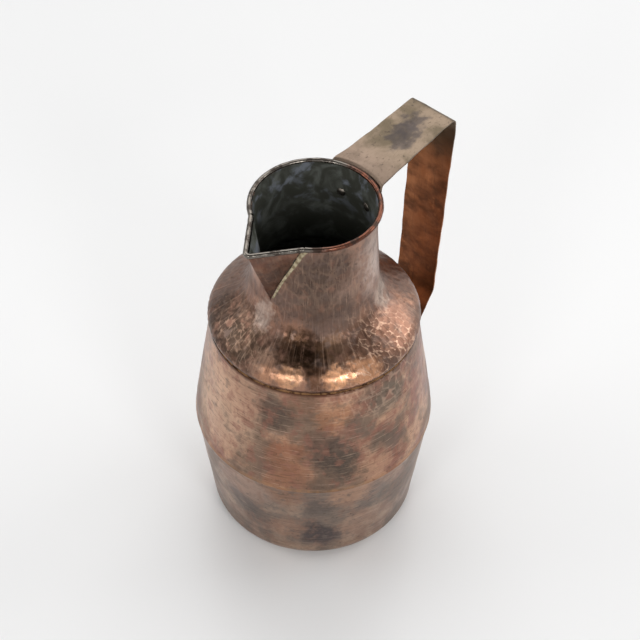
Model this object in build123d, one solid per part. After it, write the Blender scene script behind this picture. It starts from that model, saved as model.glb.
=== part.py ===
from build123d import *

import os
from math import atan, atan2, cos, degrees, hypot, radians, sin

# A hand-raised water jug in hammered sheet copper, in millimetres.
# The origin is the centre of the base on the surface that the jug stands on.
# +Z is up, the spout points towards -X and the handle towards +X.

# Stock: sheet, rim wire, handle strap and the visible braze at the seams
SHEET = 0.9
WIRE_R = 0.8
STRAP_T = 1.5
BRAZE_W = 1.2
BRAZE_PROUD = 0.35
LAP = 6.0

# Lower cup: flat bottom, rounded foot corner and a cone widening to the belly
FOOT_CORNER_R = 64.5
FOOT_BEND = 10.3
BELLY_R = 75.0
BELLY_Z = 79.0

# Upper cone: narrows from the belly to the groove under the shoulder
GROOVE_R = 62.9
GROOVE_Z = 156.0

# Shoulder and neck, raised from one sheet
SHOULDER_R = 64.2
SHOULDER_Z = 160.6
SHOULDER_TOP_R = 62.2
SHOULDER_TOP_Z = 166.0
NECK_FOOT_R = 38.6
NECK_FOOT_Z = 181.0
WAIST_R = 35.6
WAIST_Z = 230.0
SHOULDER_BEND = 2.6
SHOULDER_TOP_BEND = 12.0
NECK_FOOT_BEND = 24.0
WAIST_BEND = 60.0

# Rim: the sheet's edge rolled outwards over a wire
RIM_R = 36.9
RIM_Z = 246.6
WALL_END_INSET = 0.65

# Spout: a folded V of sheet set in a notch in the neck
SPOUT_TIP_R = 57.0
SPOUT_FOOT_R = 37.2
SPOUT_FOOT_Z = 196.5
SPOUT_HALF_ANGLE = 33.0
TIP_BEND = 2.6
KINK_BEND = 6.0

# Handle: one strap bent to a squared loop, flanged against the neck and the lower cup
HANDLE_TOP_Z = 247.6
CORNER_X = 107.0
CORNER_Z = 252.6
CORNER_BEND = 4.5
KNEE_X = 99.6
KNEE_Z = 111.5
KNEE_BEND = 12.0
BEAD_CLEARANCE = 0.3
OFFSET_BEND = 2.4
NECK_BEND = 3.0
STRAIGHT_FROM_X = 47.0
WAISTED_X = 66.0
UPPER_FLANGE_Z = 217.0
UPPER_FLANGE_TOP_Z = 239.0
LOWER_FLANGE_Z = 50.0
LOWER_FLANGE_TOP_Z = 77.5
NECK_END_HALF_W = 18.4
WAISTED_HALF_W = 16.5
CORNER_HALF_W = 16.2
KNEE_HALF_W = 14.9

# Rivets, domed on both sides
SHANK_R = 1.7
HOLE_R = SHANK_R + 0.02
HEAD_R = 3.2
HEAD_H = 1.5
UPPER_RIVET_Z = 227.5
UPPER_RIVET_ANGLE = 16.0
LOWER_RIVET_Z = 61.0
LOWER_RIVET_ANGLE = 6.6

# Turn of each sheet's closing seam, how far the strap's last run is drawn past its end before it
# is cut to the body, and a length well beyond the jug for cutting slabs
SEAM_ANGLE = 90
RUN_SHARE = 1.2
WIDE = 4 * BELLY_R

BEAD_R = WIRE_R + SHEET
UPPER_SLOPE = (GROOVE_R - BELLY_R) / (GROOVE_Z - BELLY_Z)
CONE_WALL = SHEET * hypot(1, UPPER_SLOPE)
LOWER_SLOPE = (BELLY_R - CONE_WALL - FOOT_CORNER_R) / BELLY_Z
HEIGHT = CORNER_Z + BEAD_R
STACK = SHEET + STRAP_T


def upper_cone_r(z, inset=0.0):
    """Radius of the upper cone's outer face at height z, less an inset."""
    return BELLY_R + (z - BELLY_Z) * UPPER_SLOPE - inset


def lower_cone_r(z):
    """Radius of the lower cup's outer face at height z."""
    return FOOT_CORNER_R + z * LOWER_SLOPE


def neck_r(z):
    """Radius of the neck's outer face at height z, on either side of its waist."""
    if z < WAIST_Z:
        return WAIST_R + (WAIST_Z - z) * (NECK_FOOT_R - WAIST_R) / (WAIST_Z - NECK_FOOT_Z)
    return WAIST_R + (z - WAIST_Z) * (RIM_R - WALL_END_INSET - WAIST_R) / (RIM_Z - WAIST_Z)


def headings(path):
    """Direction, in radians, of each straight run of a path."""
    return [atan2(b[1] - a[1], b[0] - a[0]) for a, b in zip(path, path[1:])]


def shifted(path, bends, distance):
    """The path moved sideways, to its left where distance is positive, with its bend radii."""
    runs = headings(path)
    before = [runs[0]] + runs
    after = runs + [runs[-1]]
    points = []
    for (x, z), h0, h1 in zip(path, before, after):
        middle = (h0 + h1) / 2
        mitre = distance / cos((h1 - h0) / 2)
        points.append((x - mitre * sin(middle), z + mitre * cos(middle)))
    radii = []
    for bend, h0, h1 in zip(bends, runs, runs[1:]):
        radii.append(bend - distance if h1 > h0 else bend + distance)
    return points, radii


def line_along(path, bends):
    """Edges of a path in the XZ plane, rounded at each inner point."""
    points = [(x, 0, z) for x, z in path]
    if not bends:
        return Polyline(*points).edges()
    return FilletPolyline(*points, radius=bends).edges()


def strip(path, bends, thickness):
    """Section of sheet with one face on the path and its thickness to the left of it."""
    far_path, far_bends = shifted(path, bends, thickness)
    start_cap = Line((path[0][0], 0, path[0][1]), (far_path[0][0], 0, far_path[0][1]))
    end_cap = Line((path[-1][0], 0, path[-1][1]), (far_path[-1][0], 0, far_path[-1][1]))
    edges = [*line_along(path, bends), *line_along(far_path, far_bends)]
    return make_face([*edges, start_cap.edge(), end_cap.edge()])


def turned_strip(path, bends, thickness):
    """A strip of sheet turned about the jug's axis, with its seam turned to one side."""
    return Rot(0, 0, SEAM_ANGLE) * revolve(strip(path, bends, thickness), Axis.Z)


def core(path, bends):
    """The solid that fills everything inside a path, out to the path itself."""
    (start_r, start_z), (end_r, end_z) = path[0], path[-1]
    closing = [(end_r, 0, end_z), (0, 0, end_z), (0, 0, start_z)]
    if start_r > 0:
        closing.append((start_r, 0, start_z))
    outline = make_face([*line_along(path, bends), *Polyline(*closing).edges()])
    return revolve(outline, Axis.Z)


def slab(x_range, y_range, z_range):
    """A box given by its lower and upper limits along each axis."""
    spans = (x_range, y_range, z_range)
    sizes = [high - low for low, high in spans]
    centre = [(low + high) / 2 for low, high in spans]
    return Pos(*centre) * Box(*sizes)


# Outer faces of the sheet pieces, from bottom to top

LOWER_PATH = [
    (0, 0),
    (FOOT_CORNER_R, 0),
    (lower_cone_r(BELLY_Z), BELLY_Z),
    (upper_cone_r(BELLY_Z + LAP, CONE_WALL), BELLY_Z + LAP),
]
LOWER_BENDS = [FOOT_BEND, 2 * SHEET]
UPPER_PATH = [(BELLY_R, BELLY_Z), (GROOVE_R, GROOVE_Z)]
NECK_PATH = [
    (upper_cone_r(GROOVE_Z - LAP, CONE_WALL), GROOVE_Z - LAP),
    (upper_cone_r(GROOVE_Z + BRAZE_W / 2, CONE_WALL), GROOVE_Z + BRAZE_W / 2),
    (SHOULDER_R, SHOULDER_Z),
    (SHOULDER_TOP_R, SHOULDER_TOP_Z),
    (NECK_FOOT_R, NECK_FOOT_Z),
    (WAIST_R, WAIST_Z),
    (RIM_R - WALL_END_INSET, RIM_Z),
]
NECK_BENDS = [
    SHEET,
    SHOULDER_BEND,
    SHOULDER_TOP_BEND,
    NECK_FOOT_BEND,
    WAIST_BEND,
]


def rim_line():
    """Centre line of the rim wire: the neck's circle drawn out to the spout's tip."""
    half = radians(SPOUT_HALF_ANGLE)
    kink = (-RIM_R * cos(half), RIM_R * sin(half))
    spout = make_face(Polyline(kink, (-SPOUT_TIP_R, 0), (kink[0], -kink[1]), close=True))
    mouth = Circle(RIM_R) + spout
    corners = mouth.vertices().sort_by(Axis.X)
    mouth = fillet(corners[1:3], KINK_BEND)
    mouth = fillet(mouth.vertices().sort_by(Axis.X)[0], TIP_BEND)
    return Pos(0, 0, RIM_Z) * mouth.face().outer_wire()


def along_rim(radius):
    """A round rod along the rim's centre line."""
    path = rim_line()
    start = path @ 0
    section = Plane(origin=start, z_dir=path % 0) * Circle(radius)
    return sweep(section, path)


def kink_x():
    """The X where the rim leaves the neck's circle and runs out along the spout."""
    return -RIM_R * cos(radians(SPOUT_HALF_ANGLE))


def spout_run():
    """Unit direction of the spout's side, seen from above, from the kink to the tip."""
    kink_y = RIM_R * sin(radians(SPOUT_HALF_ANGLE))
    length = hypot(SPOUT_TIP_R + kink_x(), kink_y)
    return (SPOUT_TIP_R + kink_x()) / length, kink_y / length


def wedge(outset=0.0):
    """The V-shaped solid bounded by the spout's outer faces, moved out by an outset."""
    run_x, run_y = spout_run()
    tip = -SPOUT_TIP_R + WALL_END_INSET / run_y
    reach = RIM_R
    wide_y = reach * run_y / run_x
    top = Polyline((tip, 0), (tip + reach, wide_y), (tip + reach, -wide_y), close=True)
    top_face = Pos(0, 0, RIM_Z) * make_face(top)
    foot = Vertex(-SPOUT_FOOT_R, 0, SPOUT_FOOT_Z)
    tip_end = Vector(tip, 0, RIM_Z)
    side = Vector(reach, wide_y, 0)
    keel = tip_end - Vector(-SPOUT_FOOT_R, 0, SPOUT_FOOT_Z)
    normal = side.cross(keel).normalized()
    return Pos(-outset / abs(normal.X), 0, 0) * Solid.make_loft([top_face.face().outer_wire(), foot])


def make_lower_body():
    """Cup with the flat bottom, whose top edge is lapped inside the upper cone."""
    return turned_strip(LOWER_PATH, LOWER_BENDS, SHEET)


def make_upper_body():
    """Cone between the belly and the groove."""
    return turned_strip(UPPER_PATH, [], SHEET)


def neck_only(shape):
    """The part of a shape that lies behind the kinks, on the neck's circle."""
    return shape & slab((kink_x(), WIDE), (-WIDE, WIDE), (0, WIDE))


def spout_only(shape):
    """The part of a shape that lies in front of the kinks, on the spout."""
    return shape & slab((-WIDE, kink_x()), (-WIDE, WIDE), (0, WIDE))


def make_shoulder_neck(holes):
    """Shoulder and neck with the rolled rim, notched at the front for the spout."""
    wall = turned_strip(NECK_PATH, NECK_BENDS, SHEET) & slab((-WIDE, WIDE), (-WIDE, WIDE), (0, RIM_Z))
    notched = wall - wedge(-SHEET)
    rolled = notched + neck_only(along_rim(BEAD_R))
    return rolled - along_rim(WIRE_R) - holes


def make_spout(neck):
    """Folded V of sheet between the notch and the tip, with its own rolled edges, fitted to the neck."""
    folded = wedge() - wedge(-SHEET) - core(NECK_PATH, NECK_BENDS)
    front = folded & slab((-WIDE, 0), (-WIDE, WIDE), (0, WIDE))
    rolled = front + spout_only(along_rim(BEAD_R))
    return rolled - along_rim(WIRE_R) - neck


def make_spout_braze():
    """Strip of braze outside the spout's seam on the +Y side."""
    skin = turned_strip(NECK_PATH[4:], NECK_BENDS[4:], -BRAZE_PROUD)
    below_rim = slab((-WIDE, 0), (0, WIDE), (0, RIM_Z - BEAD_R))
    return (skin & wedge(BRAZE_W) & below_rim) - wedge()


def make_belly_braze():
    """Fillet of braze that fills the step under the upper cone's lower edge."""
    inner = lower_cone_r(BELLY_Z - BRAZE_W)
    under = upper_cone_r(BELLY_Z, CONE_WALL)
    section = Polyline(
        (inner, 0, BELLY_Z - BRAZE_W),
        (BELLY_R, 0, BELLY_Z),
        (under, 0, BELLY_Z),
        close=True,
    )
    ring = revolve(make_face(section), Axis.Z)
    return ring - make_lower_body() - make_upper_body()


def make_shoulder_braze():
    """Ring of braze in the bottom of the groove, on the upper cone's top edge."""
    path = [(GROOVE_R - BRAZE_PROUD, GROOVE_Z - BRAZE_W), (GROOVE_R - BRAZE_PROUD, GROOVE_Z + BRAZE_W / 2)]
    ring = turned_strip(path, [], 2 * SHEET)
    wall = turned_strip(NECK_PATH[:4], NECK_BENDS[:2], SHEET)
    return ring - core(NECK_PATH[:2], []) - wall - core(UPPER_PATH, [])


def upper_flange():
    """Strap end curved round the neck, cranked out past the rim's bead, then bent level."""
    clear_r = RIM_R + BEAD_R + BEAD_CLEARANCE
    path = [
        (neck_r(UPPER_FLANGE_Z), UPPER_FLANGE_Z),
        (WAIST_R, WAIST_Z),
        (neck_r(UPPER_FLANGE_TOP_Z), UPPER_FLANGE_TOP_Z),
        (clear_r, RIM_Z - 2 * BEAD_R),
        (clear_r, HANDLE_TOP_Z),
        (STRAIGHT_FROM_X, HANDLE_TOP_Z),
    ]
    bends = [WAIST_BEND, OFFSET_BEND, OFFSET_BEND, NECK_BEND]
    return turned_strip(path, bends, -STRAP_T) & strap_plan()


def strap_plan():
    """Outline of the strap's top run, seen from above, wider towards the neck."""
    outline = Polyline(
        (0, NECK_END_HALF_W),
        (RIM_R, NECK_END_HALF_W),
        (WAISTED_X, WAISTED_HALF_W),
        (CORNER_X + STRAP_T, CORNER_HALF_W),
        (CORNER_X + STRAP_T, -CORNER_HALF_W),
        (WAISTED_X, -WAISTED_HALF_W),
        (RIM_R, -NECK_END_HALF_W),
        (0, -NECK_END_HALF_W),
        close=True,
    )
    return extrude(make_face(outline), HEIGHT)


def strap_front():
    """Outline of the strap's upright run, seen along X, narrower towards its knee."""
    outline = Polyline(
        (0, -KNEE_HALF_W, 0),
        (0, -KNEE_HALF_W, KNEE_Z),
        (0, -CORNER_HALF_W, HANDLE_TOP_Z - STRAP_T),
        (0, -NECK_END_HALF_W, HANDLE_TOP_Z - STRAP_T),
        (0, -NECK_END_HALF_W, HEIGHT),
        (0, NECK_END_HALF_W, HEIGHT),
        (0, NECK_END_HALF_W, HANDLE_TOP_Z - STRAP_T),
        (0, CORNER_HALF_W, HANDLE_TOP_Z - STRAP_T),
        (0, KNEE_HALF_W, KNEE_Z),
        (0, KNEE_HALF_W, 0),
        close=True,
    )
    return extrude(make_face(outline), WIDE, dir=(1, 0, 0))


def strap_loop():
    """The flat runs of the strap, from beside the rim to where it meets the belly."""
    flange_x = lower_cone_r(LOWER_FLANGE_TOP_Z) + STRAP_T
    knee_run = (flange_x - KNEE_X, LOWER_FLANGE_TOP_Z - KNEE_Z)
    path = [
        (RIM_R, HANDLE_TOP_Z),
        (STRAIGHT_FROM_X, HANDLE_TOP_Z),
        (CORNER_X, CORNER_Z),
        (KNEE_X, KNEE_Z),
        (KNEE_X + RUN_SHARE * knee_run[0], KNEE_Z + RUN_SHARE * knee_run[1]),
    ]
    section = strip(path, [WAIST_BEND, CORNER_BEND, KNEE_BEND], -STRAP_T)
    loop = extrude(section, WIDE / 2, both=True, dir=(0, 1, 0))
    bend_end = RIM_R + BEAD_R + BEAD_CLEARANCE + NECK_BEND + SHEET
    beside_rim = Pos(0, 0, HANDLE_TOP_Z) * Cylinder(bend_end, BELLY_R)
    return (loop & strap_plan() & strap_front()) - beside_rim


def lower_flange():
    """Strap end curved round the lower cup."""
    path = [
        (lower_cone_r(LOWER_FLANGE_Z), LOWER_FLANGE_Z),
        (lower_cone_r(LOWER_FLANGE_TOP_Z), LOWER_FLANGE_TOP_Z),
    ]
    return turned_strip(path, [], -STRAP_T) & slab((0, WIDE), (-KNEE_HALF_W, KNEE_HALF_W), (0, BELLY_Z))


def make_handle_strap(holes):
    """The whole strap, fitted to the outside of the body."""
    strap = upper_flange() + strap_loop() + lower_flange()
    for body in (core(LOWER_PATH, LOWER_BENDS), core(UPPER_PATH, []), make_belly_braze(), make_upper_body()):
        strap = strap - body
    return strap - holes


def rivet_place(radius, z, angle, tilt):
    """Location on the body's outer face, with X along the rivet and away from the body."""
    return Rot(0, 0, angle) * Pos(radius, 0, z) * Rot(0, tilt, 0)


def make_hole():
    """The drilled hole for a rivet's shank, longer than the stack that the rivet holds."""
    return Rot(0, 90, 0) * Cylinder(HOLE_R, 4 * STACK)


def make_rivet_blank():
    """Rivet with both heads, each sunk a little so that it can be fitted to a curved face."""
    dome_r = (HEAD_R**2 + HEAD_H**2) / (2 * HEAD_H)
    ball = Sphere(dome_r)
    shank = Pos((STRAP_T - SHEET) / 2, 0, 0) * Rot(0, 90, 0) * Cylinder(SHANK_R, STACK)
    outer = Pos(STRAP_T + HEAD_H - dome_r, 0, 0) * ball
    inner = Pos(-SHEET - HEAD_H + dome_r, 0, 0) * ball
    outer_head = outer & slab((STRAP_T - SHEET / 3, WIDE), (-HEAD_R, HEAD_R), (-HEAD_R, HEAD_R))
    inner_head = inner & slab((-WIDE, -SHEET * 2 / 3), (-HEAD_R, HEAD_R), (-HEAD_R, HEAD_R))
    return shank + outer_head + inner_head


def add_pair(pieces, name, left):
    """Name a piece on the +Y side and its mirror image on the other side."""
    pieces[name + "_left"] = left
    pieces[name + "_right"] = mirror(left, about=Plane.XZ)


def both_sides(place, shape):
    """A shape on the +Y side and its mirror image."""
    left = place * shape
    return [left, mirror(left, about=Plane.XZ)]


def build():
    """All pieces by node name."""
    cone_tilt = degrees(atan(LOWER_SLOPE))
    upper_place = rivet_place(neck_r(UPPER_RIVET_Z), UPPER_RIVET_Z, UPPER_RIVET_ANGLE, 0)
    lower_place = rivet_place(lower_cone_r(LOWER_RIVET_Z), LOWER_RIVET_Z, LOWER_RIVET_ANGLE, cone_tilt)
    upper_holes = both_sides(upper_place, make_hole())
    lower_holes = both_sides(lower_place, make_hole())
    lower_body = make_lower_body() - lower_holes
    shoulder_neck = make_shoulder_neck(upper_holes)
    handle_strap = make_handle_strap(upper_holes + lower_holes)
    pieces = {
        "lower_body": lower_body,
        "upper_body": make_upper_body(),
        "shoulder_neck": shoulder_neck,
        "spout": make_spout(shoulder_neck),
        "rim_wire": along_rim(WIRE_R),
        "handle_strap": handle_strap,
        "belly_braze_ring": make_belly_braze(),
        "shoulder_braze_ring": make_shoulder_braze(),
    }
    upper_rivet = upper_place * make_rivet_blank() - handle_strap - shoulder_neck
    lower_rivet = lower_place * make_rivet_blank() - handle_strap - lower_body
    add_pair(pieces, "upper_rivet", upper_rivet)
    add_pair(pieces, "lower_rivet", lower_rivet)
    add_pair(pieces, "spout_braze", make_spout_braze())
    return pieces


def main():
    os.makedirs("parts", exist_ok=True)
    for name, shape in build().items():
        export_step(shape, os.path.join("parts", name + ".step"))


main()
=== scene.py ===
from math import atan2, ceil, cos, hypot, pi, radians, sin, tan

import bpy
import numpy as np
from mathutils import Euler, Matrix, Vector


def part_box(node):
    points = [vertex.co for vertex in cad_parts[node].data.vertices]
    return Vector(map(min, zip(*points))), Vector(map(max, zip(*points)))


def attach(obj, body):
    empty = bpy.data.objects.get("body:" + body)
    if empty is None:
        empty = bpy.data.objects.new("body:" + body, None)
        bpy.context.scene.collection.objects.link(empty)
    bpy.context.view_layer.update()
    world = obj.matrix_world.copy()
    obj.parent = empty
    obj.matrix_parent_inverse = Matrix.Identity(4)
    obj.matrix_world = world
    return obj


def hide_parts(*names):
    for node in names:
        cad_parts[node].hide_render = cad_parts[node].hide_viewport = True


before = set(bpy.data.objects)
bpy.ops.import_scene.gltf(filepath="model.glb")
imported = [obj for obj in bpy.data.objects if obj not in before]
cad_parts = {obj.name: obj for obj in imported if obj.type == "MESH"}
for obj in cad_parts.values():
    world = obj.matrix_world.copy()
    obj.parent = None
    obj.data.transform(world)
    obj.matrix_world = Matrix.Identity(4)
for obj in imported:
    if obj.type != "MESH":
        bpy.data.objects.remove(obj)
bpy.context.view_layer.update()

# A hand-raised, hammered copper jug with a wired rim, a folded spout and a riveted strap handle.
# Everything is in metres. +Z is up, the spout points towards -X and the handle towards +X.

MM = 0.001

# Stock that the coppersmith used
SHEET = 0.9 * MM
WIRE_R = 0.8 * MM
BEAD_R = WIRE_R + SHEET
STRAP_T = 1.5 * MM
LAP = 6 * MM

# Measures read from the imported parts
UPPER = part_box("upper_body")
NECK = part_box("shoulder_neck")
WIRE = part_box("rim_wire")
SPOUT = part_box("spout")
BELLY_R = UPPER[1].x
BELLY_Z = UPPER[0].z
GROOVE_Z = UPPER[1].z
RIM_Z = (WIRE[0].z + WIRE[1].z) / 2
RIM_R = WIRE[1].x - WIRE_R
SHOULDER_R = NECK[1].x

# Corners of the turned pieces' outer faces and the radii that round them
FOOT_R = 64.5 * MM
FOOT_BEND = 10.3 * MM
GROOVE_R = 62.9 * MM
SHOULDER_Z = 160.6 * MM
SHOULDER_BEND = 2.6 * MM
SHOULDER_TOP = (62.2 * MM, 166 * MM)
SHOULDER_TOP_BEND = 12 * MM
NECK_FOOT = (38.6 * MM, 181 * MM)
NECK_FOOT_BEND = 24 * MM
WAIST = (35.6 * MM, 230 * MM)
WAIST_BEND = 60 * MM
WALL_END_INSET = 0.65 * MM

# Edge of the cone filed in, crown of the shoulder, and where the rim turns off to the spout
FEATHER = 0.75 * MM
DOME = 1 * MM
KINK_ANGLE = 33
SPOUT_FOOT_Z = 196.5 * MM

# Corners of the strap's path and its half widths
UPPER_FLANGE = (217 * MM, 239 * MM)
LOWER_FLANGE = (50 * MM, 77.5 * MM)
HANDLE_TOP_Z = 247.6 * MM
CORNER = (107 * MM, 252.6 * MM)
CORNER_BEND = 4.5 * MM
KNEE = (99.6 * MM, 111.5 * MM)
KNEE_BEND = 12 * MM
BEAD_CLEARANCE = 0.3 * MM
OFFSET_BEND = 2.4 * MM
FLANGE_BEND = 6 * MM
LEVEL_TO_X = 47 * MM
WAISTED_X = 66 * MM
HALF_WIDTHS = {"neck": 18.4 * MM, "waist": 16.5 * MM, "corner": 16.2 * MM, "knee": 14.9 * MM}

# Mesh spacing on faces that show and on faces that don't, and how many faces go round each piece
FINE = 1.0 * MM
COARSE = 9 * MM
ROUND_STEPS = 420
NECK_STEPS = 400
BEAD_STEPS = 260
BEAD_SIDES = 20
STRAP_COLUMNS = 36

# Hammer marks: their width, their depth and how much taller than wide they are
CUP_MARKS = (5.5 * MM, 0.18 * MM, 1.8)
CONE_MARKS = (5 * MM, 0.32 * MM, 2.2)
SHOULDER_MARKS = (4.3 * MM, 0.55 * MM, 1.0)
NECK_MARKS = (4 * MM, 0.3 * MM, 2.4)
RIDGE_CONTRAST = 1.6

# Uneven faces: how broad the dents are and how deep
CUP_DENTS = (26 * MM, 0.5 * MM)
CONE_DENTS = (30 * MM, 0.6 * MM)
BEAD_DENTS = (5 * MM, 0.35 * MM)
BELLY_SEAM_DENTS = (6 * MM, 0.25 * MM)
GROOVE_SEAM_DENTS = (3 * MM, 0.3 * MM)
STRAP_DENTS = (12 * MM, 0.5 * MM)
SPOUT_DENTS = (6 * MM, 0.3 * MM)
BRAZE_DENTS = (2 * MM, 0.3 * MM)
RIVET_DENTS = (2.5 * MM, 0.3 * MM)
HAMMERED_ABOVE = (3 * MM, 14 * MM)

# Worn edges of the strap
EDGE_WANDER = 0.16 * MM
BENT_EDGE = 0.35 * MM

# Where hammer ridges are rubbed bright, as an angle about the axis and a strength, and the angle of the
# painted dark reflection at the front of the neck's foot
RUBBED_AT = ((262, 1.0), (172, 0.22))
RUBBED_ELSEWHERE = 0.12
DARK_REFLECTION_ANGLE = 221

# Camera: angles in degrees, the point it aims at, and a long lens in millimetres
CAMERA_AZIMUTH = -48.8
CAMERA_ELEVATION = 46.8
CAMERA_DISTANCE = 0.984
CAMERA_ROLL = 0.735
AIM_HEIGHT = 152.1 * MM
AIM_RIGHT = 3.5 * MM
LENS = 92.2

# Soft boxes: degrees round from the camera, elevation, distance, width and height in metres, and watts
SOFTBOXES = {
    "back_softbox": (180, 52, 1.5, 1.4, 1.1, 9),
    "left_softbox": (-100, 30, 1.6, 0.9, 0.9, 4.5),
    "right_softbox": (112, 26, 1.6, 1.0, 0.9, 7),
    "front_left_softbox": (-27, 30, 1.7, 0.4, 0.35, 4),
    "front_right_softbox": (29, 32, 1.7, 0.4, 0.35, 4.5),
}
FLOOR_SIZE = 6
DIM_ELEVATION = 72

CONE_SLOPE = (GROOVE_R - BELLY_R) / (GROOVE_Z - BELLY_Z)
CONE_WALL = SHEET * hypot(1, CONE_SLOPE)
CUP_SLOPE = (BELLY_R - CONE_WALL - FOOT_R) / BELLY_Z


def cone_r(z):
    """Radius of the upper cone's outer face at height z."""
    return BELLY_R + (z - BELLY_Z) * CONE_SLOPE


def cup_r(z):
    """Radius of the lower cup's outer face at height z."""
    return FOOT_R + z * CUP_SLOPE


def neck_r(z):
    """Radius of the neck's outer face at height z."""
    if z < WAIST[1]:
        return WAIST[0] + (WAIST[1] - z) * (NECK_FOOT[0] - WAIST[0]) / (WAIST[1] - NECK_FOOT[1])
    return WAIST[0] + (z - WAIST[1]) * (RIM_R - WALL_END_INSET - WAIST[0]) / (RIM_Z - WAIST[1])


# ---------------------------------------------------------------- paths


def unit(a, b):
    """Unit direction from point a to point b."""
    length = hypot(b[0] - a[0], b[1] - a[1])
    return (b[0] - a[0]) / length, (b[1] - a[1]) / length


def divided(a, b, step):
    """Points after a, up to and with b, no further apart than step."""
    dx, dz = b[0] - a[0], b[1] - a[1]
    count = max(1, ceil(hypot(dx, dz) / step))
    return [(a[0] + dx * i / count, a[1] + dz * i / count) for i in range(1, count + 1)]


def rounded_path(corners, bends, step):
    """Points along a path whose inner corners are rounded, no further apart than step."""
    points = [corners[0]]
    for before, corner, after, bend in zip(corners, corners[1:], corners[2:], bends):
        into, out = unit(before, corner), unit(corner, after)
        turn = atan2(into[0] * out[1] - into[1] * out[0], into[0] * out[0] + into[1] * out[1])
        trim = bend * tan(abs(turn) / 2)
        start = (corner[0] - into[0] * trim, corner[1] - into[1] * trim)
        points += divided(points[-1], start, step)
        side = 1 if turn > 0 else -1
        centre = (start[0] - side * into[1] * bend, start[1] + side * into[0] * bend)
        count = max(4, ceil(abs(turn) * bend / step))
        for i in range(1, count + 1):
            angle = turn * i / count
            dx, dz = start[0] - centre[0], start[1] - centre[1]
            points.append((
                centre[0] + dx * cos(angle) - dz * sin(angle),
                centre[1] + dx * sin(angle) + dz * cos(angle),
            ))
    return points + divided(points[-1], corners[-1], step)


def offset_path(corners, distance):
    """The corners of a path moved sideways, to its left where distance is positive."""
    headings = [atan2(b[1] - a[1], b[0] - a[0]) for a, b in zip(corners, corners[1:])]
    moved = []
    for (x, z), h0, h1 in zip(corners, headings[:1] + headings, headings + headings[-1:]):
        mitre = distance / cos((h1 - h0) / 2)
        moved.append((x - mitre * sin((h0 + h1) / 2), z + mitre * cos((h0 + h1) / 2)))
    return moved


# ---------------------------------------------------------------- small tools


def make_active(piece):
    """Select one piece alone."""
    bpy.ops.object.select_all(action="DESELECT")
    piece.select_set(True)
    bpy.context.view_layer.objects.active = piece


def finish_modifier(piece, kind, **settings):
    """Add a modifier with its settings and apply it at once."""
    make_active(piece)
    bpy.ops.object.modifier_add(type=kind)
    modifier = piece.modifiers[-1]
    for name, value in settings.items():
        setattr(modifier, name, value)
    bpy.ops.object.modifier_apply(modifier=modifier.name)


def corners_of(piece):
    """All vertex places of a piece as an array."""
    places = np.empty(len(piece.data.vertices) * 3)
    piece.data.vertices.foreach_get("co", places)
    return places.reshape(-1, 3)


def move_corners(piece, places):
    """Put a piece's vertices at new places."""
    piece.data.vertices.foreach_set("co", places.ravel())
    piece.data.update()


def named(name):
    """Give the active object a name and return it."""
    piece = bpy.context.object
    piece.name = name
    piece.data.name = name
    return piece


def turned(name, outline, steps, angle=2 * pi, start=0.0):
    """A piece turned about the jug's axis from an outline of (radius, height) points."""
    bpy.ops.object.select_all(action="DESELECT")
    bpy.ops.mesh.primitive_plane_add(size=SHEET, location=(outline[0][0], 0, outline[0][1]))
    piece = named(name)
    bpy.ops.object.transform_apply(location=True, rotation=False, scale=False)
    bpy.ops.object.mode_set(mode="EDIT")
    bpy.ops.mesh.select_all(action="SELECT")
    bpy.ops.mesh.merge(type="CENTER")
    for (r0, z0), (r1, z1) in zip(outline, outline[1:]):
        bpy.ops.mesh.extrude_region_move(TRANSFORM_OT_translate={"value": (r1 - r0, 0, z1 - z0)})
    bpy.ops.mesh.select_all(action="SELECT")
    if start:
        # With no window, rotate turns clockwise for a positive angle, as the spin does
        bpy.ops.transform.rotate(value=start, orient_axis="Z", center_override=(0, 0, 0))
    bpy.ops.mesh.spin(steps=steps, angle=angle, center=(0, 0, 0), axis=(0, 0, 1))
    bpy.ops.mesh.select_all(action="SELECT")
    bpy.ops.mesh.remove_doubles(threshold=SHEET / 50)
    bpy.ops.mesh.normals_make_consistent(inside=False)
    bpy.ops.object.mode_set(mode="OBJECT")
    return piece


def turn_outwards(piece):
    """Make all faces of a closed piece point outwards."""
    make_active(piece)
    bpy.ops.object.mode_set(mode="EDIT")
    bpy.ops.mesh.select_all(action="SELECT")
    bpy.ops.mesh.normals_make_consistent(inside=False)
    bpy.ops.object.mode_set(mode="OBJECT")


def weigh(piece, name, weights):
    """Store one weight per vertex as a vertex group."""
    group = piece.vertex_groups.new(name=name)
    for level in np.unique(np.round(weights, 1)):
        if level > 0:
            chosen = np.flatnonzero(np.round(weights, 1) == level)
            group.add([int(i) for i in chosen], float(level), "REPLACE")


def smooth_step(values, low, high):
    """Ease from 0 at low to 1 at high."""
    t = np.clip((values - low) / (high - low), 0, 1)
    return t * t * (3 - 2 * t)


def dimple(piece, group, size, depth, tall):
    """Strike a piece's outer face with hammer marks that leave thin ridges between them.

    The pattern is how much farther the second nearest mark is than the nearest, so it is 0 on the ridges.
    """
    texture = bpy.data.textures.new(piece.name + "_" + group, "VORONOI")
    texture.noise_scale = size
    texture.weight_1 = -1
    texture.weight_2 = 1
    texture.noise_intensity = RIDGE_CONTRAST
    bpy.ops.object.select_all(action="DESELECT")
    bpy.ops.object.empty_add(location=(0, 0, 0))
    stretch = bpy.context.object
    stretch.scale = (1, 1, tall)
    bpy.context.view_layer.update()
    finish_modifier(
        piece, "DISPLACE", texture=texture, texture_coords="OBJECT", texture_coords_object=stretch,
        vertex_group=group, strength=-depth, mid_level=0,
    )
    bpy.data.objects.remove(stretch)


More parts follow.
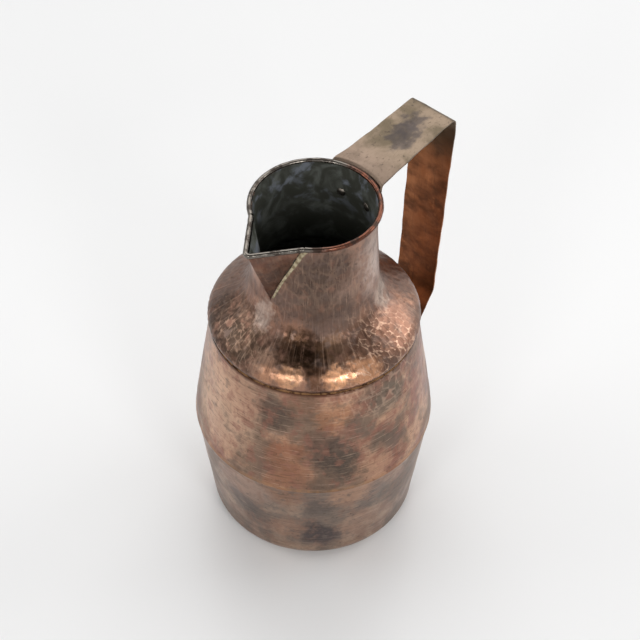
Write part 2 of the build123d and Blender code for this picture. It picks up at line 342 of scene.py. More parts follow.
def dent(piece, group, size, depth):
    """Push a piece's outer face in unevenly, by up to depth."""
    texture = bpy.data.textures.new(piece.name + "_" + group, "CLOUDS")
    texture.noise_scale = size
    finish_modifier(
        piece, "DISPLACE", texture=texture, texture_coords="LOCAL", vertex_group=group,
        strength=depth, mid_level=1,
    )


def mark_depth(piece, before):
    """Store how far each vertex was pushed in, from 0 on the ridges to 1 in the dents and elsewhere."""
    depth = np.linalg.norm(corners_of(piece) - before, axis=1)
    struck = depth > SHEET / 1000
    low, high = np.percentile(depth[struck], [5, 95])
    values = np.where(struck, np.clip((depth - low) / (high - low), 0, 1), 1)
    layer = piece.data.attributes.new("dent", "FLOAT", "POINT")
    layer.data.foreach_set("value", values)


def shade(piece, degrees=35):
    """Smooth shading with crisp edges."""
    make_active(piece)
    bpy.ops.object.shade_smooth_by_angle(angle=radians(degrees))


def stands_for(piece, slot, *nodes):
    """Let a piece ride on the jug and stand for CAD nodes, which are hidden. The slot is not used."""
    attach(piece, "root")
    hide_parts(*nodes)


# ---------------------------------------------------------------- materials

EASED = {"interpolation_type": "SMOOTHSTEP"}


def colour(hex_code):
    """An sRGB hex colour as linear RGBA."""
    channels = [int(hex_code[i:i + 2], 16) / 255 for i in (1, 3, 5)]
    linear = [c / 12.92 if c <= 0.04045 else ((c + 0.055) / 1.055) ** 2.4 for c in channels]
    return (*linear, 1.0)


def add_node(owner, kind, inputs=None, output=0, **settings):
    """Add a shader node with its settings; each input is a value or the socket that feeds it."""
    node = owner.node_tree.nodes.new(kind)
    for name, value in settings.items():
        setattr(node, name, value)
    for socket, source in (inputs or {}).items():
        if isinstance(source, bpy.types.NodeSocket):
            owner.node_tree.links.new(source, node.inputs[socket])
        else:
            node.inputs[socket].default_value = source
    return node.outputs[output]


def between(low, high, start=0.0, end=1.0):
    """Limits that take a pattern from start, where it is at low, to end, where it is at high."""
    return {"From Min": low, "From Max": high, "To Min": start, "To Max": end}


def plain_finish(name, hex_code, roughness, metallic=1.0):
    """A material of one tone and its shader; patina and relief are laid on afterwards."""
    material = bpy.data.materials.new(name)
    material.use_nodes = True
    shader = material.node_tree.nodes["Principled BSDF"]
    shader.inputs["Base Color"].default_value = colour(hex_code)
    shader.inputs["Metallic"].default_value = metallic
    shader.inputs["Roughness"].default_value = roughness
    return material, shader


def mottle(material, place, size, detail, distortion=0.0, stretch=(1, 1, 1)):
    """Uneven patches from 0 to 1 of a real size in metres, drawn out along an axis by a stretch under 1."""
    drawn = add_node(material, "ShaderNodeMapping", {"Vector": place, "Scale": stretch})
    noise = {"Scale": 1 / size, "Detail": detail, "Roughness": 0.6, "Distortion": distortion}
    return add_node(material, "ShaderNodeTexNoise", {"Vector": drawn, **noise})


def lay(material, below, hex_code, pattern, low, high, most=1.0):
    """Lay a tone over what is below, from none where the pattern is at low to most where it is at high."""
    limits = between(low, high, 0.0, most)
    mask = add_node(material, "ShaderNodeMapRange", {"Value": pattern, **limits}, **EASED)
    layers = {0: mask, 6: below, 7: colour(hex_code)}
    return add_node(material, "ShaderNodeMix", layers, output=2, data_type="RGBA")


def on_jug(angle, radius, height):
    """A place on the jug from its angle about the axis in degrees, its radius and its height."""
    return radius * cos(radians(angle)), radius * sin(radians(angle)), height


def spot_of_stain_and_light(material, below, place, centre, size, hex_code, strength):
    """Lay one round spot, of staining or of painted highlight or shade, that fades from under half its size
    outwards.
    """
    gap = add_node(material, "ShaderNodeVectorMath", {0: place, 1: centre}, "Value", operation="DISTANCE")
    return lay(material, below, hex_code, gap, size, 0.45 * size, strength)


def ragged(material, place, size, reach):
    """Coordinates pushed about by noise of a size, so that round spots of staining and painted light get
    ragged edges.
    """
    pattern = {"Vector": place, "Scale": 1 / size, "Detail": 4.0}
    noise = add_node(material, "ShaderNodeTexNoise", pattern, "Color")
    centred = add_node(
        material, "ShaderNodeVectorMath", {0: noise, 1: (0.5, 0.5, 0.5)}, operation="SUBTRACT"
    )
    pushes = {0: centred, 1: (reach, reach, reach), 2: place}
    return add_node(material, "ShaderNodeVectorMath", pushes, operation="MULTIPLY_ADD")


def round_the_axis(material, place):
    """Coordinates whose X and Y hold the direction from the jug's axis and whose Z is the height."""
    flat = add_node(material, "ShaderNodeVectorMath", {0: place, 1: (1, 1, 0)}, operation="MULTIPLY")
    direction = add_node(material, "ShaderNodeVectorMath", {0: flat}, operation="NORMALIZE")
    lifted = add_node(material, "ShaderNodeVectorMath", {0: place, 1: (0, 0, 1)}, operation="MULTIPLY")
    return add_node(material, "ShaderNodeVectorMath", {0: direction, 1: lifted}, operation="ADD")


def off_level(material, height, level):
    """How far a height is from a level, up or down."""
    above = add_node(material, "ShaderNodeMath", {0: height, 1: level}, operation="SUBTRACT")
    return add_node(material, "ShaderNodeMath", {0: above}, operation="ABSOLUTE")


def rubbed_bright(material, place, fine, ridge_wear):
    """How strongly the hammer ridges are rubbed bright: most at two places, and not at all in the painted
    dark reflection at the front of the neck's foot.
    """
    worn = RUBBED_ELSEWHERE
    for angle, most in RUBBED_AT:
        centre = on_jug(angle, SHOULDER_R, SHOULDER_Z)
        gap = add_node(material, "ShaderNodeVectorMath", {0: place, 1: centre}, "Value", operation="DISTANCE")
        fading = {"Value": gap, **between(20 * MM, 46 * MM, most, 0.0)}
        near = add_node(material, "ShaderNodeMapRange", fading, **EASED)
        worn = add_node(material, "ShaderNodeMath", {0: near, 1: worn}, operation="MAXIMUM")
    # Centre of the painted dark reflection of the dim space above the front, where the ridges stay dull
    dark_reflection_spot = on_jug(DARK_REFLECTION_ANGLE, NECK_FOOT[0] + 8 * DOME, NECK_FOOT[1])
    gap = add_node(material, "ShaderNodeVectorMath", {0: place, 1: dark_reflection_spot}, "Value", operation="DISTANCE")
    clear = add_node(material, "ShaderNodeMapRange", {"Value": gap, **between(15 * MM, 27 * MM)}, **EASED)
    broken = add_node(material, "ShaderNodeMapRange", {"Value": fine, **between(0.35, 0.55, 0.35)}, **EASED)
    for share in (clear, broken, ridge_wear):
        worn = add_node(material, "ShaderNodeMath", {0: worn, 1: share}, operation="MULTIPLY")
    return worn


def complete(material, shader, tone, roughness, relief, depth, strength):
    """Join the last tone, the roughness and a fine relief of some depth to the shader."""
    bump = add_node(material, "ShaderNodeBump", {"Height": relief, "Distance": depth, "Strength": strength})
    for socket, source in (("Base Color", tone), ("Roughness", roughness), ("Normal", bump)):
        material.node_tree.links.new(source, shader.inputs[socket])
    return material


def copper_skin(name, tones, stains_and_painted_light, upright, ridge_wear):
    """Hammered and brushed sheet copper: worn pink metal under a broken grey-brown patina.

    Cloudy tones 8 to 34 mm across break the sheet up, specks of 3 mm make it look pitted, and brush
    strokes 1 mm wide, drawn coarser than real ones so that they show, give it a silky grain.
    """
    clean, warm, patina, dark, ridge = tones
    material, shader = plain_finish(name, clean, 0.3)
    place = add_node(material, "ShaderNodeTexCoord", output="Object")
    height = add_node(material, "ShaderNodeSeparateXYZ", {0: place}, "Z")
    if upright:
        around = round_the_axis(material, place)
        brushed = mottle(material, around, 12.5 * MM, 5.0, stretch=(0.75, 0.75, 1))
        bright_strokes, dark_strokes = 0.22, 0.32
    else:
        brushed = mottle(material, place, 1 * MM, 5.0, stretch=(0.07, 0.07, 1))
        bright_strokes, dark_strokes = 0.34, 0.5
    broad = mottle(material, place, 22 * MM, 8.0)
    fine = mottle(material, place, 8 * MM, 8.0)
    specks = mottle(material, place, 3 * MM, 4.0)
    patches = mottle(material, place, 34 * MM, 10.0, 0.3)
    smears = add_node(material, "ShaderNodeMath", {0: brushed, 1: 0.3, 2: patches}, operation="MULTIPLY_ADD")
    tone = lay(material, colour(clean), warm, broad, 0.4, 0.58)
    tone = lay(material, tone, patina, smears, 0.58, 0.72, 0.8)
    edge = ragged(material, ragged(material, place, 12 * MM, 14 * MM), 3 * MM, 9 * MM)
    for angle, radius, at, size, hex_code, strength in stains_and_painted_light:
        centre = on_jug(angle, radius * MM, at * MM)
        tone = spot_of_stain_and_light(material, tone, edge, centre, size * MM, hex_code, strength)
    tone = lay(material, tone, warm, fine, 0.5, 0.64, 0.6)
    tone = lay(material, tone, patina, fine, 0.46, 0.34, 0.55)
    tone = lay(material, tone, dark, specks, 0.56, 0.75, 0.5)
    tone = lay(material, tone, ridge, brushed, 0.54, 0.72, bright_strokes)
    tone = lay(material, tone, dark, brushed, 0.48, 0.3, dark_strokes)
    # Lighter broken line along the belly where the cone meets the cup: painted highlight on that soft ridge
    flecks = add_node(
        material, "ShaderNodeMapRange", {"Value": fine, **between(0.4, 0.6, 0.15, 0.5)}, **EASED
    )
    from_belly = off_level(material, height, BELLY_Z + SHEET)
    tone = lay(material, tone, "#AD8560", from_belly, 2.5 * MM, 0.2 * MM, flecks)
    # Dark red-brown band along the groove: painted shade under the shoulder's overhanging edge
    from_groove = off_level(material, height, GROOVE_Z)
    tone = lay(material, tone, "#4E2C1C", from_groove, 3 * MM, 0.5 * MM, 0.85)
    struck = add_node(material, "ShaderNodeAttribute", output="Fac", attribute_name="dent")
    worn = rubbed_bright(material, edge, fine, ridge_wear)
    tone = lay(material, tone, ridge, struck, 0.32, 0.0, worn)
    polished = add_node(
        material, "ShaderNodeMapRange", {"Value": struck, **between(0.32, 0.0, 0.0, worn)}, **EASED
    )
    dull = add_node(
        material, "ShaderNodeMapRange", {"Value": smears, **between(0.55, 0.75, 0.25, 0.38)}, **EASED
    )
    rough = add_node(material, "ShaderNodeMath", {0: brushed, 1: 0.14, 2: dull}, operation="MULTIPLY_ADD")
    rough = add_node(material, "ShaderNodeMath", {0: polished, 1: -0.1, 2: rough}, operation="MULTIPLY_ADD")
    grain = add_node(material, "ShaderNodeMath", {0: brushed, 1: specks}, operation="ADD")
    return complete(material, shader, tone, rough, grain, 0.1 * MM, 0.3)


def body_copper():
    """Sheet copper of the cone, brushed round: pink where it was handled, grey-brown elsewhere."""
    stains_and_painted_light = [
        (166, 70, 118, 38, "#D2AF95", 0.7),
        (180, 70, 140, 26, "#C79F86", 0.6),
        (202, 66, 137, 17, "#5F5249", 0.85),
        (216, 66, 150, 14, "#826554", 0.85),
        (209, 70, 106, 20, "#96684F", 0.65),
        (231, 71, 108, 21, "#594E47", 0.9),
        (239, 72, 98, 17, "#5C5149", 0.85),
        (232, 67, 138, 16, "#A97657", 0.6),
        (247, 69, 126, 14, "#73655A", 0.8),
        (262, 67, 138, 17, "#796D60", 0.8),
        (260, 71, 106, 16, "#72655A", 0.8),
        (223, 70, 121, 12, "#7A6255", 0.7),
        (252, 71, 92, 17, "#BA9178", 0.75),
        (215, 71, 92, 14, "#A0745C", 0.6),
        (227, 74, 85, 14, "#6B5A4F", 0.7),
        (205, 74, 84, 12, "#AF7A5C", 0.5),
    ]
    tones = ("#C39B80", "#96695A", "#7A685B", "#463830", "#E6C4AA")
    return copper_skin("hammered_sheet_copper", tones, stains_and_painted_light, False, 0.3)


def cup_copper():
    """Sheet copper of the cup: a greyer patina with pink rubbed patches, and low in front a dark blotch of
    painted reflection of the shadowed floor by the foot.
    """
    stains_and_painted_light = [
        # Dark blotch low in front: painted reflection of the shadowed floor by the foot
        (227, 66, 26, 17, "#50484B", 0.8),
        (221, 66, 36, 12, "#5D5352", 0.6),
        (184, 68, 46, 18, "#645D5B", 0.6),
        (196, 69, 60, 14, "#736A64", 0.55),
        (208, 66, 34, 16, "#B18871", 0.5),
        (246, 67, 34, 18, "#B5947F", 0.55),
        (252, 71, 60, 18, "#7D746D", 0.6),
        (240, 72, 72, 19, "#BC957C", 0.75),
        (206, 73, 74, 16, "#A37B63", 0.7),
        (224, 71, 60, 14, "#675D58", 0.7),
        (188, 72, 66, 20, "#B99B8A", 0.7),
    ]
    tones = ("#B39884", "#977868", "#80736A", "#4A403B", "#D6BBA6")
    return copper_skin("planished_cup_copper", tones, stains_and_painted_light, False, 0.2)


def shoulder_copper():
    """Sheet copper of the shoulder and neck, brushed upwards, with bright worn hammer ridges."""
    stains_and_painted_light = [
        (150, 56, 171, 26, "#3A312B", 0.85),
        (176, 55, 172, 22, "#43382F", 0.85),
        (193, 57, 169, 13, "#B08E79", 0.6),
        # Painted dark reflection of the dim space above the front, round the neck's foot, here and at 208 and
        # 236 degrees
        (221, 48, 176, 18, "#3C2A1F", 0.9),
        # Painted shade that splits the two highlights on the shoulder's front edge
        (223, 61, 168, 9, "#5C3F2D", 0.75),
        (208, 49, 175, 16, "#3A291C", 0.85),
        (236, 48, 176, 14, "#6B503C", 0.7),
        (262, 52, 172, 24, "#5F463A", 0.8),
        (284, 54, 171, 20, "#A97C66", 0.6),
        # Clean copper on the shoulder's front edge with painted highlights
        (250, 61, 166, 14, "#DDA37C", 0.75),
        (235, 62, 166, 10, "#F2B488", 0.95),
        (208, 62, 166, 9, "#D9A580", 0.8),
        (198, 63, 164, 11, "#BC8868", 0.6),
        (240, 36, 205, 16, "#64544C", 0.65),
        (226, 37, 200, 13, "#6F564A", 0.5),
        (262, 36, 215, 18, "#A08678", 0.5),
        (250, 37, 190, 13, "#706058", 0.6),
        (215, 36, 222, 22, "#54473F", 0.65),
        (236, 36, 228, 20, "#584A42", 0.65),
        (224, 37, 204, 18, "#6A5A50", 0.5),
        # Pale streaks at both feet of the neck and up its right side: painted reflections, like the streaky
        # highlights of brushed metal
        (174, 41, 187, 11, "#C7B3A6", 0.6),
        (298, 40, 187, 12, "#C9B6A8", 0.6),
        (290, 36, 225, 20, "#BCA79C", 0.6),
        (290, 36, 205, 18, "#BCA79C", 0.6),
    ]
    tones = ("#A9806A", "#876556", "#74625A", "#3C2E27", "#EAC2A6")
    return copper_skin("raised_shoulder_copper", tones, stains_and_painted_light, True, 0.8)


def lining():
    """Old hand-wiped tinning gone almost black: dull and pitted, with bluish scuffs near the mouth."""
    material, shader = plain_finish("blackened_tin_lining", "#4F5048", 0.5, 0.4)
    place = add_node(material, "ShaderNodeTexCoord", output="Object")
    height = add_node(material, "ShaderNodeSeparateXYZ", {0: place}, "Z")
    patches = mottle(material, place, 14 * MM, 6.0, 0.8)
    scuffs = mottle(material, place, 12 * MM, 10.0, 0.3)
    scoured = {"Value": height, **between(RIM_Z - 45 * MM, RIM_Z - 8 * MM)}
    near_mouth = add_node(material, "ShaderNodeMapRange", scoured, **EASED)
    tone = lay(material, colour("#4F5048"), "#777A74", patches, 0.45, 0.7)
    tone = lay(material, tone, "#8E939C", scuffs, 0.5, 0.66, near_mouth)
    dull = add_node(
        material, "ShaderNodeMapRange", {"Value": patches, **between(0.3, 0.7, 0.42, 0.6)}, **EASED
    )
    return complete(material, shader, tone, dull, patches, 0.25 * MM, 0.6)


def tinned_bead():
    """Rolled and wiped edge: bright tin at the spout and back left, bare copper right, grime between."""
    material, shader = plain_finish("tinned_rolled_copper", "#756F68", 0.26)
    place = add_node(material, "ShaderNodeTexCoord", output="Object")
    blots = mottle(material, place, 6 * MM, 5.0)
    side = add_node(
        material, "ShaderNodeVectorMath", {0: place, 1: (0.5, -1, 0)}, "Value", operation="DOT_PRODUCT"
    )
    drift = add_node(material, "ShaderNodeMath", {0: blots, 1: 30 * MM, 2: side}, operation="MULTIPLY_ADD")
    tone = lay(material, colour("#756F68"), "#6B4436", drift, 18 * MM, 36 * MM)
    tone = lay(material, tone, "#3A322D", blots, 0.46, 0.6, 0.85)
    dull = add_node(
        material, "ShaderNodeMapRange", {"Value": blots, **between(0.4, 0.7, 0.16, 0.4)}, **EASED
    )
    return complete(material, shader, tone, dull, blots, 0.2 * MM, 0.5)


def strap_copper():
    """Old rolled strap copper: tan on top where hands polished it, with a dark purple-brown smear and
    freckles; red-brown and mottled on the upright part, with painted shade under the top bend.
    """
    material, shader = plain_finish("aged_strap_copper", "#817161", 0.42)
    place = add_node(material, "ShaderNodeTexCoord", output="Object")
    along = add_node(material, "ShaderNodeSeparateXYZ", {0: place}, "X")
    height = add_node(material, "ShaderNodeSeparateXYZ", {0: place}, "Z")
    patches = mottle(material, place, 16 * MM, 8.0, 0.2, stretch=(1, 1, 1.6))
    grain = mottle(material, place, 0.667 * MM, 3.0, stretch=(0.1733, 1, 0.04))
    freckles = mottle(material, place, 2.2 * MM, 3.0)
    top = lay(material, colour("#817161"), "#6A5E4E", patches, 0.4, 0.62)
    top = lay(material, top, "#857266", along, WAISTED_X, 42 * MM, 0.6)
    edge = ragged(material, place, 7 * MM, 20 * MM)
    for x, y in ((70, -1.25), (79, -0.125), (88, 1)):
        centre = (x * MM, y * MM, HANDLE_TOP_Z + 2 * STRAP_T)
        top = spot_of_stain_and_light(material, top, edge, centre, 10 * MM, "#474140", 0.75)
    top = lay(material, top, "#473E39", freckles, 0.58, 0.72, 0.7)
    upright = lay(material, colour("#AD734C"), "#754C32", patches, 0.36, 0.68)
    upright = lay(material, upright, "#C8875A", mottle(material, place, 11 * MM, 4.0), 0.56, 0.7, 0.7)
    # Darker towards the top of the upright part: painted shade under the top bend
    upright = lay(material, upright, "#433A2B", height, 205 * MM, 238 * MM, 0.9)
    upright = lay(material, upright, "#4F3825", height, 125 * MM, 108 * MM, 0.3)
    bend = between(HANDLE_TOP_Z - 6 * MM, HANDLE_TOP_Z - 1 * MM)
    on_top = add_node(material, "ShaderNodeMapRange", {"Value": height, **bend}, **EASED)
    tone = add_node(material, "ShaderNodeMix", {0: on_top, 6: upright, 7: top}, output=2, data_type="RGBA")
    tone = lay(material, tone, "#4A3A2D", grain, 0.45, 0.25, 0.4)
    dull = add_node(
        material, "ShaderNodeMapRange", {"Value": patches, **between(0.3, 0.7, 0.36, 0.5)}, **EASED
    )
    relief = add_node(material, "ShaderNodeMath", {0: grain, 1: patches}, operation="ADD")
    return complete(material, shader, tone, dull, relief, 0.15 * MM, 0.4)


def blotched_metal(name, bright, dark):
    """Cast or hammered metal, bright where it was filed or rubbed and dark in its 3 mm hollows."""
    material, shader = plain_finish(name, bright, 0.35)
    place = add_node(material, "ShaderNodeTexCoord", output="Object")
    hollows = mottle(material, place, 3 * MM, 4.0)
    tone = lay(material, colour(bright), dark, hollows, 0.42, 0.62)
    dull = add_node(
        material, "ShaderNodeMapRange", {"Value": hollows, **between(0.4, 0.7, 0.3, 0.5)}, **EASED
    )
    return complete(material, shader, tone, dull, hollows, 0.2 * MM, 0.6)


BODY_SKIN = body_copper()
CUP_SKIN = cup_copper()
SHOULDER_SKIN = shoulder_copper()
LINING = lining()
BEAD = tinned_bead()
STRAP_SKIN = strap_copper()
SEAM_BRAZE = blotched_metal("filed_seam_braze", "#BDB093", "#8A7B62")
RING_BRAZE = blotched_metal("brown_ring_braze", "#8E6A4A", "#4A3324")
RIVET_SKIN = blotched_metal("blackened_copper_rivet", "#B4ABA0", "#6A625A")


def line_inside(piece, tilt, skin, inside):
    """Give a shell its skin, and its inner faces the lining; tilt says how the inside leans up or down."""
    piece.data.materials.clear()
    piece.data.materials.append(skin)
    piece.data.materials.append(inside)
    count = len(piece.data.polygons)
    normals, centres = np.empty(count * 3), np.empty(count * 3)
    piece.data.polygons.foreach_get("normal", normals)
    piece.data.polygons.foreach_get("center", centres)
    normals, centres = normals.reshape(-1, 3), centres.reshape(-1, 3)
    radius = np.maximum(np.hypot(centres[:, 0], centres[:, 1]), SHEET / 100)
    outward = (normals[:, :2] * centres[:, :2]).sum(axis=1) / radius
    piece.data.polygons.foreach_set("material_index", (outward + tilt * normals[:, 2] < 0).astype(int))


# ---------------------------------------------------------------- turned pieces


def lower_cup():
    """Cup with a flat bottom, a rounded foot corner and a top edge lapped inside the cone."""
    lap = (cone_r(BELLY_Z + LAP) - CONE_WALL, BELLY_Z + LAP)
    outer = [(0, 0), (FOOT_R, 0), (cup_r(BELLY_Z), BELLY_Z), lap]
    inner = offset_path(outer, SHEET)[::-1]
    outline = rounded_path(outer, [FOOT_BEND, 2 * SHEET], FINE)
    outline += rounded_path(inner, [SHEET, FOOT_BEND - SHEET], COARSE)
    piece = turned("lower_cup", outline, ROUND_STEPS)
    places = corners_of(piece)
    radius, height = np.hypot(places[:, 0], places[:, 1]), places[:, 2]
    outside = (radius > cup_r(height) - SHEET / 2) & (height > 0)
    weigh(piece, "struck", outside * smooth_step(height, *HAMMERED_ABOVE))
    dimple(piece, "struck", *CUP_MARKS)
    mark_depth(piece, places)
    dent(piece, "struck", *CUP_DENTS)
    shade(piece)
    line_inside(piece, -0.5, CUP_SKIN, LINING)
    stands_for(piece, "hammered_copper", "lower_body")
    return piece


def upper_cone():
    """Cone from the belly ridge to the groove, open at both ends."""
    outer = [(BELLY_R, BELLY_Z), (GROOVE_R, GROOVE_Z)]
    inner = offset_path(outer, SHEET)[::-1]
    outline = rounded_path(outer, [], FINE) + rounded_path(inner, [], COARSE) + outer[:1]
    piece = turned("upper_cone", outline, ROUND_STEPS)
    places = corners_of(piece)
    radius, height = np.hypot(places[:, 0], places[:, 1]), places[:, 2]
    outside = radius > cone_r(height) - SHEET / 2
    feather = outside * FEATHER * (1 - smooth_step(height, BELLY_Z, BELLY_Z + 2 * LAP)) ** 2
    places[:, :2] *= (1 - feather / radius)[:, None]
    move_corners(piece, places)
    weigh(piece, "struck", outside * smooth_step(height, BELLY_Z, BELLY_Z + 5 * MM))
    dimple(piece, "struck", *CONE_MARKS)
    mark_depth(piece, places)
    dent(piece, "struck", *CONE_DENTS)
    shade(piece)
    line_inside(piece, 0.0, BODY_SKIN, LINING)
    stands_for(piece, "hammered_copper", "upper_body")
    return piece


def rim_bead():
    """The neck's edge rolled over the wire, from kink to kink round the back."""
    kink = radians(180 - KINK_ANGLE)
    section = [
        (RIM_R + BEAD_R * cos(2 * pi * i / BEAD_SIDES), RIM_Z + BEAD_R * sin(2 * pi * i / BEAD_SIDES))
        for i in range(BEAD_SIDES + 1)
    ]
    piece = turned("rim_bead", section, BEAD_STEPS, angle=2 * kink, start=-kink)
    make_active(piece)
    bpy.ops.object.mode_set(mode="EDIT")
    bpy.ops.mesh.select_all(action="DESELECT")
    bpy.ops.mesh.select_non_manifold()
    bpy.ops.mesh.fill_holes(sides=0)
    bpy.ops.object.mode_set(mode="OBJECT")
    turn_outwards(piece)
    weigh(piece, "struck", np.ones(len(piece.data.vertices)))
    dent(piece, "struck", *BEAD_DENTS)
    piece.data.materials.append(BEAD)
    return piece


def notch_cutter():
    """A V-shaped block that cuts the neck open in front, just inside the spout's walls."""
    kink_x, kink_y = -RIM_R * cos(radians(KINK_ANGLE)), RIM_R * sin(radians(KINK_ANGLE))
    bpy.ops.object.select_all(action="DESELECT")
    bpy.ops.mesh.primitive_cone_add(vertices=3, radius1=0, radius2=RIM_R, depth=RIM_Z - SPOUT_FOOT_Z)
    piece = named("notch_cutter")
    tip_x = SPOUT[0].x + BEAD_R + SHEET
    back_x = kink_x + LAP / 2
    wide_y = kink_y * (back_x - tip_x) / (kink_x - tip_x)
    apex = np.array([-neck_r(SPOUT_FOOT_Z) + SHEET, 0, SPOUT_FOOT_Z + 2 * SHEET])
    top = np.array([[tip_x, 0, RIM_Z], [back_x, wide_y, RIM_Z], [back_x, -wide_y, RIM_Z]])
    lift = (RIM_Z + BEAD_R - apex[2]) / (RIM_Z - apex[2])
    places = corners_of(piece)
    lowest = places[:, 2].argmin()
    places[lowest] = apex
    places[np.arange(4) != lowest] = apex + (top - apex) * lift
    move_corners(piece, places)
    make_active(piece)
    bpy.ops.object.transform_apply()
    turn_outwards(piece)
    return piece


def shoulder_and_neck():
    """Rounded shoulder, slope and neck raised from one sheet, notched in front, with its rolled rim."""
    lap = (cone_r(GROOVE_Z - LAP) - CONE_WALL, GROOVE_Z - LAP)
    tuck = (cone_r(GROOVE_Z) - CONE_WALL, GROOVE_Z + SHEET / 2)
    outer = [
        lap, tuck, (SHOULDER_R, SHOULDER_Z), SHOULDER_TOP, NECK_FOOT, WAIST,
        (RIM_R - WALL_END_INSET, RIM_Z),
    ]
    bends = [SHEET, SHOULDER_BEND, SHOULDER_TOP_BEND, NECK_FOOT_BEND, WAIST_BEND]
    inner = offset_path(outer, SHEET)[::-1]
    inner_bends = [
        WAIST_BEND + SHEET, NECK_FOOT_BEND + SHEET, SHOULDER_TOP_BEND - SHEET,
        SHOULDER_BEND - SHEET, 2 * SHEET,
    ]
    outline = rounded_path(outer, bends, FINE) + rounded_path(inner, inner_bends, COARSE / 2) + [lap]
    piece = turned("shoulder_and_neck", outline, NECK_STEPS)
    finish_modifier(piece, "BOOLEAN", object=CUTTER, operation="DIFFERENCE", solver="MANIFOLD")
    places = corners_of(piece)
    height = places[:, 2]
    radius = np.hypot(places[:, 0], places[:, 1])
    gap = np.full(len(places), SHEET)
    for r, z in rounded_path(outer, bends, FINE):
        gap = np.minimum(gap, np.hypot(radius - r, height - z))
    outside = (gap < 0.6 * SHEET) & (height > GROOVE_Z + SHEET)
    slope = np.clip((radius - NECK_FOOT[0]) / (SHOULDER_TOP[0] - NECK_FOOT[0]), 0, 1)
    places[:, 2] += DOME * np.sin(pi * slope) ** 2 * (height < NECK_FOOT[1] + SHEET)
    move_corners(piece, places)
    on_neck = smooth_step(height, NECK_FOOT[1], NECK_FOOT[1] + 8 * MM)
    weigh(piece, "shoulder", outside * (1 - on_neck) * smooth_step(height, GROOVE_Z, SHOULDER_Z))
    weigh(piece, "neck", outside * on_neck * (1 - smooth_step(height, RIM_Z - 6 * MM, RIM_Z - BEAD_R)))
    dimple(piece, "shoulder", *SHOULDER_MARKS)
    dimple(piece, "neck", *NECK_MARKS)
    mark_depth(piece, places)
    line_inside(piece, 0.5, SHOULDER_SKIN, LINING)
    bead = rim_bead()
    bpy.ops.object.select_all(action="DESELECT")
    bead.select_set(True)
    piece.select_set(True)
    bpy.context.view_layer.objects.active = piece
    bpy.ops.object.join()
    shade(piece)
    stands_for(piece, "hammered_copper", "shoulder_neck")
    return piece


def belly_seam():
    """Braze under the cone's lower edge, filed to run on into the cup."""
    under = BELLY_Z - 3 * SHEET
    section = [
        (cup_r(under) - SHEET / 4, under),
        (BELLY_R - FEATHER - SHEET / 6, BELLY_Z - SHEET / 3),
        (BELLY_R - FEATHER - SHEET / 6, BELLY_Z + SHEET / 9),
        (BELLY_R - 2 * SHEET, BELLY_Z + SHEET / 9),
    ]
    piece = turned("belly_seam", section + section[:1], ROUND_STEPS)
    weigh(piece, "uneven", np.ones(len(piece.data.vertices)))
    dent(piece, "uneven", *BELLY_SEAM_DENTS)
    shade(piece, 60)
    piece.data.materials.append(CUP_SKIN)
    stands_for(piece, "brass_braze", "belly_braze_ring")


def groove_seam():
    """Braze run into the groove between the cone and the shoulder."""
    low = GROOVE_Z - SHEET / 2
    section = [
        (GROOVE_R - CONE_WALL, low),
        (GROOVE_R - SHEET / 4, low),
        (GROOVE_R - SHEET / 2, GROOVE_Z + SHEET / 2),
        (GROOVE_R - CONE_WALL, GROOVE_Z + SHEET),
    ]
    piece = turned("groove_seam", section + section[:1], ROUND_STEPS)
    weigh(piece, "uneven", np.ones(len(piece.data.vertices)))
    dent(piece, "uneven", *GROOVE_SEAM_DENTS)
    shade(piece, 60)
    piece.data.materials.append(RING_BRAZE)
    stands_for(piece, "brass_braze", "shoulder_braze_ring")


# ---------------------------------------------------------------- pieces fitted from the frame


def softened(name, node, slot, voxel, rounds, dents, skin):
    """A copy of a CAD node, remade in small faces, with its edges worn round and its faces uneven."""
    bpy.ops.object.select_all(action="DESELECT")
    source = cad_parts[node]
    piece = bpy.data.objects.new(name, source.data.copy())
    bpy.context.scene.collection.objects.link(piece)
    piece.data.name = name
    make_active(piece)
    bpy.ops.object.mode_set(mode="EDIT")
    bpy.ops.mesh.select_all(action="SELECT")
    bpy.ops.mesh.remove_doubles(threshold=SHEET / 200)
    bpy.ops.object.mode_set(mode="OBJECT")
    finish_modifier(piece, "REMESH", mode="VOXEL", voxel_size=voxel)
    finish_modifier(piece, "SMOOTH", factor=0.5, iterations=rounds)
    weigh(piece, "worn", np.ones(len(piece.data.vertices)))
    before = corners_of(piece)
    dent(piece, "worn", *dents)
    mark_depth(piece, before)
    shade(piece, 60)
    piece.data.materials.clear()
    piece.data.materials.append(skin)
    stands_for(piece, slot, node)
    return piece


def folded_spout():
    """The spout's folded sheet, dark inside, with its edges rolled over the wire."""
    piece = softened("folded_spout", "spout", "hammered_copper", 0.4 * MM, 4, SPOUT_DENTS, SHOULDER_SKIN)
    piece.data.materials.append(LINING)
    piece.data.materials.append(BEAD)
    for face in piece.data.polygons:
        if face.center.z > RIM_Z - BEAD_R:
            face.material_index = 2
        elif face.normal.x > 0:
            face.material_index = 1
    return piece


# ---------------------------------------------------------------- handle


def half_width(x, z):
    """Half of the strap's width, wider at the neck and narrowing towards the knee."""
    if z < HANDLE_TOP_Z - KNEE_BEND:
        return np.interp(z, [KNEE[1], HANDLE_TOP_Z], [HALF_WIDTHS["knee"], HALF_WIDTHS["corner"]])
    places = [RIM_R, WAISTED_X, CORNER[0]]
    along_top = np.interp(x, places, [HALF_WIDTHS[place] for place in ("neck", "waist", "corner")])
    even = smooth_step(x, WAISTED_X, CORNER[0] - CORNER_BEND)
    return along_top * (1 - even) + HALF_WIDTHS["corner"] * even


